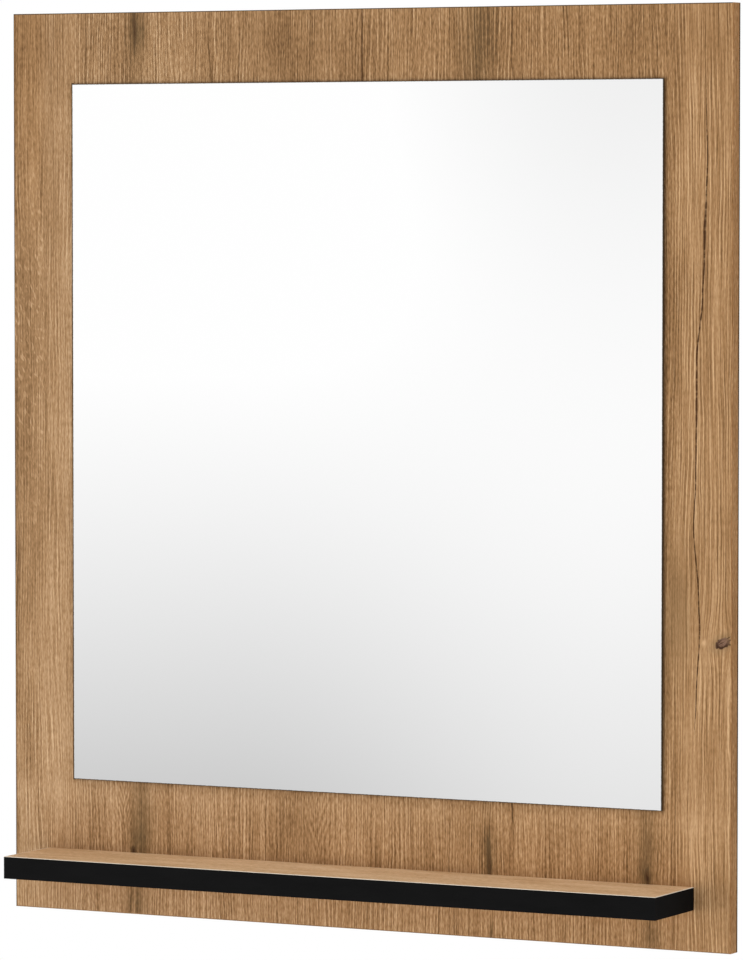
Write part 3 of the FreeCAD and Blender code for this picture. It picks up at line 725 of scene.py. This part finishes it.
class HALLMIRROR_OT_glass(Operator):
    """Makes the glass show its silver, with dark sides and ground corners, and paints the silver's back"""

    bl_idname = "hall_mirror.glass"
    bl_label = "Dress Mirror Glass"

    def execute(self, context):
        glass = context.scene.hall_mirror_glass
        self.dress_glass(glass)
        self.dress_silver(glass)
        return {"FINISHED"}

    def dress_glass(self, glass):
        """Silver up to a thin dark border, then the ground corner, and the dark side."""
        ground_width = 0.5
        border_width = glass.border / MM
        material, shader, x, y, z = new_material("mirror_glass")
        inset = inset_from(GLASS, x, z)
        side = inset.rise(0.06, 0.02)
        ground = inset.rise(ground_width + 0.02, ground_width - 0.04)
        creep = shader.streaks(x, z, 2.4, 2.4, 2.0)
        border = inset - (creep - 0.5) * 0.5
        border = border.rise(ground_width + border_width, ground_width + 0.6 * border_width)
        wear = shader.noise(shader.point(x / 0.5, y / 0.5, z / 0.5), 2.0)
        base = shader.mix(border * 0.85, glass.silver, glass.edge)
        base = shader.mix(ground, base, glass.arris)
        base = shader.mix(side, base, glass.edge)
        shader.skin(
            Base_Color=base,
            Metallic=1 - ground,
            Specular_IOR_Level=DULL,
            Roughness=creep * 0.004 + ground * (0.3 + wear * 0.25),
            Normal=shader.bump(wear * ground, 0.00003),
        )
        coat(material, "mirror_glass")

    def dress_silver(self, glass):
        """Silver in front with a dark uneven border, and brushed paint behind."""
        material, shader, x, y, z = new_material("silver_coat")
        creep = shader.noise(shader.point(x / 2.4, 0.0, z / 2.4), 2.0)
        border = (inset_from(SILVER, x, z) - (creep - 0.5) * 0.4).rise(glass.border / MM, 0.0)
        back = y.rise(SILVER.middle[1] - 0.01, SILVER.middle[1] + 0.01)
        drips = shader.noise(shader.point(x / 1.5, y, z / 22.0), 3.0)
        paint = shader.mix(drips, scaled(glass.paint, 0.8), scaled(glass.paint, 1.15))
        base = shader.mix(border * 0.8, glass.silver, glass.edge)
        base = shader.mix(back, base, paint)
        shader.skin(
            Base_Color=base,
            Metallic=1 - back,
            Roughness=back * 0.5 + border * 0.2 + creep * 0.004,
            Normal=shader.bump(drips * back, 0.00002),
        )
        coat(material, "mirror_silver")


class HALLMIRROR_OT_shelf(Operator):
    """Gives the shelf its lengthwise oak decor and its black bands a fine pebbled skin"""

    bl_idname = "hall_mirror.shelf"
    bl_label = "Dress Shelf"

    def execute(self, context):
        shelf = context.scene.hall_mirror_shelf
        self.dress_board(shelf, context.scene.hall_mirror_oak)
        self.dress_bands(shelf)
        return {"FINISHED"}

    def dress_board(self, shelf, oak):
        """Oak along the shelf, clouded, a little paler towards the board, and with its table's zones."""
        material, shader, x, y, z = new_material("shelf_decor")
        tone, pores = grain(shader, y, x, z * LAYER_SLOPE + 80.0, oak.line_gap / MM, 1.4, 1.6)
        cloud = shader.streaks(x, y, 70.0, 14.0, 1.0)
        tone = tone + (cloud - 0.5) * 0.5 + (y + 65.0) * 0.0012
        here = shader.point(x, y)
        for place_x, place_y, wide, deep, lighter in SHELF_ZONES:
            tone = shader.mark(here, (place_x, place_y), (wide, deep)) * lighter + tone
        base = plain_oak(shader, shelf, tone, pores, 0.3)
        decor = decor_surface(shader, oak, base, pores, pore_roughness=0.1)
        shader.finish(cut_through(shader, oak, decor, abs(z - SHELF.middle[2]), SHELF.half[2]))
        coat(material, "shelf_board")

    def dress_bands(self, shelf):
        """Black pebbled plastic, with a painted highlight along its top corner."""
        top = SHELF.high[2]
        material, shader, x, y, z = new_material("black_band")
        pebbles = shader.noise(shader.point(x / 0.35, y / 0.35, z / 0.35), 2.0)
        patches = shader.noise(shader.point(x / 40.0, y / 12.0, z / 9.0), 2.0)
        base = shader.mix(patches, scaled(shelf.band, 0.8), scaled(shelf.band, 1.3))
        # Painted highlight along the top corner, made a little uneven by the pebbles.
        corner = (z + (pebbles - 0.5) * 0.3).rise(top - 0.60, top - 0.25)
        base = shader.mix(corner * 0.92, base, shelf.painted_highlight)
        shader.skin(
            Base_Color=base,
            Roughness=shelf.band_roughness + (pebbles - 0.5) * 0.2,
            Specular_IOR_Level=BAND_DULL,
            Normal=shader.bump(pebbles, 0.00003),
        )
        coat(material, "shelf_edge_front", "shelf_edge_left", "shelf_edge_right")


def grid_faces(rows, columns):
    """Quads between neighbouring points of a grid whose columns run round and close."""
    row, column = np.meshgrid(np.arange(rows - 1), np.arange(columns), indexing="ij")
    after = (column + 1) % columns
    near, far = row * columns, (row + 1) * columns
    return np.stack([near + column, near + after, far + after, far + column], -1).reshape(-1, 4)


def repeated(faces, copies, size):
    """The faces of several like shapes, whose points follow one another, size points for each."""
    return (faces[None] + (np.arange(copies) * size)[:, None, None]).reshape(-1, 4)


def new_piece(name, points, faces, material, slot=None, replaces=None):
    """Makes a mesh object of points in millimetres.

    With a slot, it rides on the body and stands for a CAD node. Points that fall on one another, as at
    a pole, are merged.
    """
    mesh = bpy.data.meshes.new(name)
    mesh.from_pydata(points * MM, [], faces.tolist())
    work = bmesh.new()
    work.from_mesh(mesh)
    bmesh.ops.remove_doubles(work, verts=work.verts, dist=1e-7)
    work.to_mesh(mesh)
    work.free()
    mesh.polygons.foreach_set("use_smooth", np.full(len(mesh.polygons), True))
    mesh.materials.append(material)
    piece = bpy.data.objects.new(name, mesh)
    bpy.context.scene.collection.objects.link(piece)
    if slot:
        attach(piece, BODY)
        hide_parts(replaces)
    return piece


def squeezed_profile(bulge):
    """A strip's ring of (across, depth) shares, whose two sides swell out as half ovals."""
    turn = np.linspace(-0.5 * np.pi, 0.5 * np.pi, 9)
    right = np.stack([1 - bulge + bulge * np.cos(turn), 0.5 + 0.5 * np.sin(turn)], -1)
    left = right[::-1] * (-1, 1)
    return np.concatenate([right, left])


def bead_widths(half, waist, copies, way):
    """Half widths of uneven beads along the way from 0 to 1, one row for each bead.

    A bead narrows by half its waist times a sum of two sine waves, whose phase moves on from bead to
    bead. Its ends are rounded off by the square root of 1 less a high power of the distance from the
    middle.
    """
    phase = np.arange(copies)[:, None] * 1.7
    wave = 0.5 + 0.28 * np.sin(23.0 * way + phase) + 0.22 * np.sin(57.0 * way + 2.3 * phase)
    ends = np.sqrt(np.clip(1 - (np.abs(way - 0.5) * 2) ** 60, 0.02, 1.0))
    return (half - 0.5 * waist * wave) * ends


def strips(centres, box, profile, widths):
    """Closed strips that run up the board, as points and faces.

    A strip is its profile, a ring of (across, depth) shares of the half width and of the thickness,
    carried up a path of rows. Each row scales the ring across by its own half width. Flat caps of
    quads, from one side of the ring to the other, shut the two ends.
    """
    rows = widths.shape[1]
    size = len(profile)
    height = np.linspace(box.low[2], box.high[2], rows)
    across = centres[:, None, None] + widths[:, :, None] * profile[None, None, :, 0]
    depth = box.low[1] + (box.high[1] - box.low[1]) * profile[None, None, :, 1]
    depth = np.broadcast_to(depth, across.shape)
    height = np.broadcast_to(height[None, :, None], across.shape)
    points = np.stack([across, depth, height], -1).reshape(-1, 3)
    side = np.arange(size // 2 - 1)
    bottom = np.stack([side, size - 1 - side, size - 2 - side, side + 1], -1)
    top = (bottom + (rows - 1) * size)[:, ::-1]
    faces = np.concatenate([grid_faces(rows, size), bottom, top])
    return points, repeated(faces, len(centres), rows * size)


class HALLMIRROR_OT_bond(Operator):
    """Lays the foam strips with squeezed sides and the uneven adhesive beads behind the glass"""

    bl_idname = "hall_mirror.bond"
    bl_label = "Lay Tape and Adhesive"

    def execute(self, context):
        bond = context.scene.hall_mirror_bond
        tape_width, bead_width = 19.0, 8.0
        rows = 161
        for name, node, slot, copies, width, base in (
            ("foam_tape", "mirror_tape", "foam", bond.tape_count, tape_width, bond.foam),
            ("adhesive_beads", "mirror_adhesive", "adhesive", bond.bead_count, bead_width, bond.adhesive),
        ):
            material, shader, x, y, z = new_material(name)
            half = 0.5 * width
            if node == "mirror_tape":
                widths = np.full((copies, rows), half)
                cells = shader.cells(shader.point(x / 0.35, y / 0.35, z / 0.35))
                tone = shader.noise(shader.point(x / 9.0, y, z / 30.0), 2.0)
            else:
                widths = bead_widths(half, bond.bead_waist / MM, copies, np.linspace(0.0, 1.0, rows))
                cells = shader.noise(shader.point(x / 1.8, y / 1.8, z / 3.0), 3.0)
                tone = shader.noise(shader.point(x / 3.0, y, z / 14.0), 2.0)
            shader.skin(
                Base_Color=shader.mix(tone, scaled(base, 0.86), scaled(base, 1.1)),
                Roughness=0.55 + cells * 0.3,
                Specular_IOR_Level=DULL,
                Normal=shader.bump(cells, 0.00008),
            )
            box = box_of(node)
            centres = np.linspace(box.low[0] + half, box.high[0] - half, copies)
            profile = squeezed_profile(bond.foam_bulge / MM / half)
            points, faces = strips(centres, box, profile, widths)
            new_piece(name, points, faces, material, slot, node)
        return {"FINISHED"}


def fluted_dowels(centres, box, flutes, depth):
    """Dowels along the depth axis, as points and faces.

    The radius at an angle is the full one less the flutes' depth times the square of a raised cosine of
    the angle. A row is its radius, its place along the dowel and its share of the flutes' depth. The
    first and last rows are the middles of the two ends, and the rows next to them make the chamfers.
    """
    sides = flutes * 6
    chamfer = 1.0
    radius = box.half[2]
    start, end = box.low[1], box.high[1]
    rows = np.array(
        [
            (0.0, start, 0.0),
            (radius - chamfer, start, 0.0),
            (radius, start + chamfer, 0.6),
            (radius, start + 2.0 * chamfer, 1.0),
            (radius, end - 2.0 * chamfer, 1.0),
            (radius, end - chamfer, 0.6),
            (radius - chamfer, end, 0.0),
            (0.0, end, 0.0),
        ]
    )
    around = np.linspace(0.0, FULL_TURN, sides, endpoint=False)
    flute = depth * (0.5 - 0.5 * np.cos(flutes * around)) ** 2
    ring = np.maximum(rows[:, 0, None] - rows[:, 2, None] * flute[None], 0.0)
    x = centres[:, None, None] + ring[None] * np.cos(around)
    y = np.broadcast_to(rows[None, :, 1, None], x.shape)
    z = np.broadcast_to(box.middle[2] + ring[None] * np.sin(around), x.shape)
    points = np.stack([x, y, z], -1).reshape(-1, 3)
    faces = grid_faces(len(rows), sides)[:, ::-1]
    return points, repeated(faces, len(centres), len(rows) * sides)


class HALLMIRROR_OT_dowels(Operator):
    """Turns the shelf's fluted beech dowels"""

    bl_idname = "hall_mirror.dowels"
    bl_label = "Turn Dowels"

    def execute(self, context):
        fixing = context.scene.hall_mirror_fixing
        box = box_of("shelf_dowels")
        radius = box.half[2]
        centres = np.linspace(box.low[0] + radius, box.high[0] - radius, fixing.dowel_count)
        points, faces = fluted_dowels(centres, box, fixing.flutes, fixing.flute_depth / MM)
        material, shader, x, y, z = new_material("beech_dowel")
        rays = shader.noise(shader.point(x / 0.5, y / 3.0, z / 0.5), 1.0).rise(0.56, 0.70)
        years = shader.noise(shader.point(x / 2.2, y / 60.0, z / 2.2), 2.0)
        base = shader.mix(years, scaled(fixing.beech, 0.85), scaled(fixing.beech, 1.12))
        shader.skin(
            Base_Color=shader.mix(rays * 0.4, base, scaled(fixing.beech, 0.6)),
            Roughness=0.6 + rays * 0.1,
            Specular_IOR_Level=DULL,
            Normal=shader.bump(rays, 0.00004),
        )
        new_piece("fluted_dowels", points, faces, material, "beech", "shelf_dowels")
        return {"FINISHED"}


class HALLMIRROR_OT_fixings(Operator):
    """Gives the keyhole plates and screws bright zinc with rolled grain and rubbed marks"""

    bl_idname = "hall_mirror.fixings"
    bl_label = "Dress Plates and Screws"

    def execute(self, context):
        fixing = context.scene.hall_mirror_fixing
        screws = ("shelf_screws", "hanger_screws_left", "hanger_screws_right")
        rubbed = (0.66, 0.60, 0.46)
        for name, nodes, stretch in (
            ("zinc_plate", ("hanger_left", "hanger_right"), (0.18, 0.5, 9.0)),
            ("zinc_screw", screws, (0.4, 0.4, 0.4)),
        ):
            material, shader, x, y, z = new_material(name)
            rolled = shader.noise(shader.point(x / stretch[0], y / stretch[1], z / stretch[2]), 2.0)
            cloud = shader.noise(shader.point(x / 6.0, y / 6.0, z / 6.0), 3.0)
            base = shader.mix(cloud, scaled(fixing.zinc, 0.82), scaled(fixing.zinc, 1.12))
            shader.skin(
                Base_Color=shader.mix(cloud.rise(0.5, 0.75) * 0.25, base, rubbed),
                Metallic=1.0,
                Roughness=0.26 + rolled * 0.16 + cloud * 0.12,
                Normal=shader.bump(rolled, 0.00002),
            )
            coat(material, *nodes)
        return {"FINISHED"}


# The soft lamps in metres: name, place, what it points at, width and height.
LAMPS = (
    ("key_softbox", (-2.4, -4.6, -0.1), (0.0, 0.0, -0.1), 3.0, 2.2),
    ("top_softbox", (0.2, -1.1, 3.2), (0.0, 0.0, -0.3), 3.0, 2.0),
    ("low_softbox", (-0.6, -2.8, -0.5), (0.0, 0.0, -0.42), 2.4, 0.4),
)


def area_lamp(name, place, aim, width, height, watts):
    """A soft rectangular lamp that points at the aim and stays out of the mirror."""
    data = bpy.data.lights.new(name, "AREA")
    data.shape = "RECTANGLE"
    data.size = width
    data.size_y = height
    data.energy = watts
    lamp = bpy.data.objects.new(name, data)
    bpy.context.scene.collection.objects.link(lamp)
    lamp.location = place
    lamp.rotation_euler = (Vector(aim) - Vector(place)).to_track_quat("-Z", "Y").to_euler()
    lamp.visible_glossy = False
    lamp.visible_camera = False


class HALLMIRROR_OT_stage(Operator):
    """Sets up the pale floor, the soft lamps, the surroundings and the camera"""

    bl_idname = "hall_mirror.stage"
    bl_label = "Set Up Studio"

    def execute(self, context):
        scene = context.scene
        stage = scene.hall_mirror_stage
        scene.view_settings.view_transform = "Standard"
        self.add_floor(stage)
        self.fill_surroundings(scene, stage)
        for lamp, watts in zip(LAMPS, (stage.key, stage.top, stage.low)):
            area_lamp(*lamp, watts)
        self.add_camera(scene, stage)
        return {"FINISHED"}

    def add_camera(self, scene, stage):
        """A level camera that looks a little down, from the right."""
        data = bpy.data.cameras.new("camera")
        data.lens = stage.lens
        data.sensor_width = 36.0
        data.clip_end = 100.0
        camera = bpy.data.objects.new("camera", data)
        scene.collection.objects.link(camera)
        camera.location = stage.eye
        camera.rotation_euler = (math.pi / 2 - stage.tilt, 0.0, stage.turn)
        scene.camera = camera

    def add_floor(self, stage):
        """A flat disc of rings; its rim fades into the white surroundings."""
        rings, sides = 13, 96
        fade_from, fade_to = 0.35 * stage.floor_radius, 0.9 * stage.floor_radius
        material, shader, x, y, z = new_material("studio_floor")
        reach = (x.square() + y.square()).root() * MM
        seen = sum(shader.outputs(LOOKING_RAYS, "ShaderNodeLightPath"))
        grit = shader.noise(shader.point(x / 3.0, y / 3.0), 3.0)
        base = shader.mix(grit * 0.1, stage.floor, scaled(stage.floor, 0.9))
        matt = shader.surface(Base_Color=base, Roughness=0.9, Specular_IOR_Level=0.1)
        white = shader.node("ShaderNodeEmission", None, {"Color": WHITE, "Strength": 1.0})
        rim = reach.rise(fade_from, fade_to) * seen.least(1.0)
        shader.finish(shader.node("ShaderNodeMixShader", None, {0: rim, 1: matt, 2: white}))
        ring = np.linspace(0.0, stage.floor_radius / MM, rings)
        around = np.linspace(0.0, FULL_TURN, sides, endpoint=False)
        across, deep = np.outer(ring, np.cos(around)), np.outer(ring, np.sin(around))
        level = np.full_like(across, BOARD.low[2] - stage.floor_drop / MM)
        points = np.stack([across, deep, level], -1).reshape(-1, 3)
        faces = grid_faces(rings, sides)[:, ::-1]
        floor = new_piece("studio_floor", points, faces, material)

    def fill_surroundings(self, scene, stage):
        """Even light on the object; white when seen directly, and greyer in the mirror.

        A reflected direction is judged by its height z and by how far it turns aside, x over y. Low
        directions show a grey floor, greyer to one side, and high ones to the other side a slightly
        grey corner. The lift makes up for what the glass takes away.
        """
        floor_grey, side_grey, corner_grey = 0.542, 0.376, 0.1825
        lift, darkest = 1.062, 0.6
        world = bpy.data.worlds.new("studio")
        world.use_nodes = True
        scene.world = world
        shader = Shader(world.node_tree)
        camera_ray, glossy_ray, clear_ray = shader.outputs(LOOKING_RAYS, "ShaderNodeLightPath")
        direction = shader.node("ShaderNodeTexCoord", output="Generated")
        x, y, z = shader.outputs(range(3), "ShaderNodeSeparateXYZ", {0: direction})
        seen = camera_ray.most(glossy_ray).most(clear_ray)
        aside = x / y.least(-0.05)
        grey = z.rise(0.002, -0.224) * (floor_grey + aside.rise(0.461, 0.554) * side_grey)
        corner = aside.rise(0.550, 0.4635) * z.rise(-0.0734, 0.034) * corner_grey
        backdrop = ((1 - grey - corner) * lift).least(1.0).most(darkest).most(camera_ray)
        light = shader.node("ShaderNodeBackground", None, {"Color": WHITE, "Strength": stage.daylight})
        view = shader.node("ShaderNodeBackground", None, {"Color": WHITE, "Strength": backdrop})
        both = shader.node("ShaderNodeMixShader", None, {0: seen, 1: light, 2: view})
        shader.finish(both, "ShaderNodeOutputWorld")


OPERATORS = (
    HALLMIRROR_OT_board,
    HALLMIRROR_OT_board_bands,
    HALLMIRROR_OT_glass,
    HALLMIRROR_OT_shelf,
    HALLMIRROR_OT_bond,
    HALLMIRROR_OT_dowels,
    HALLMIRROR_OT_fixings,
    HALLMIRROR_OT_stage,
)
SETTINGS = (
    ("hall_mirror_oak", OakSettings),
    ("hall_mirror_glass", GlassSettings),
    ("hall_mirror_shelf", ShelfSettings),
    ("hall_mirror_bond", BondSettings),
    ("hall_mirror_fixing", FixingSettings),
    ("hall_mirror_stage", StageSettings),
)


class HALLMIRROR_PT_panel(Panel):
    """Lists the hall mirror's operators and settings"""

    bl_idname = "HALLMIRROR_PT_panel"
    bl_label = "Hall Mirror"
    bl_space_type = "VIEW_3D"
    bl_region_type = "UI"
    bl_category = "Hall Mirror"

    def draw(self, context):
        for operator in OPERATORS:
            self.layout.operator(operator.bl_idname)
        for name, group in SETTINGS:
            box = self.layout.box()
            box.label(text=group.__doc__)
            for field in group.__annotations__:
                box.prop(getattr(context.scene, name), field)


def register():
    for name, group in SETTINGS:
        bpy.utils.register_class(group)
        setattr(bpy.types.Scene, name, PointerProperty(type=group))
    for shown in (*OPERATORS, HALLMIRROR_PT_panel):
        bpy.utils.register_class(shown)


def unregister():
    for shown in reversed((*OPERATORS, HALLMIRROR_PT_panel)):
        bpy.utils.unregister_class(shown)
    for name, group in reversed(SETTINGS):
        delattr(bpy.types.Scene, name)
        bpy.utils.unregister_class(group)


def main():
    """Registers the classes and runs the operators in order."""
    register()
    for operator in OPERATORS:
        group, action = operator.bl_idname.split(".")
        getattr(getattr(bpy.ops, group), action)()


if __name__ == "__main__":
    main()
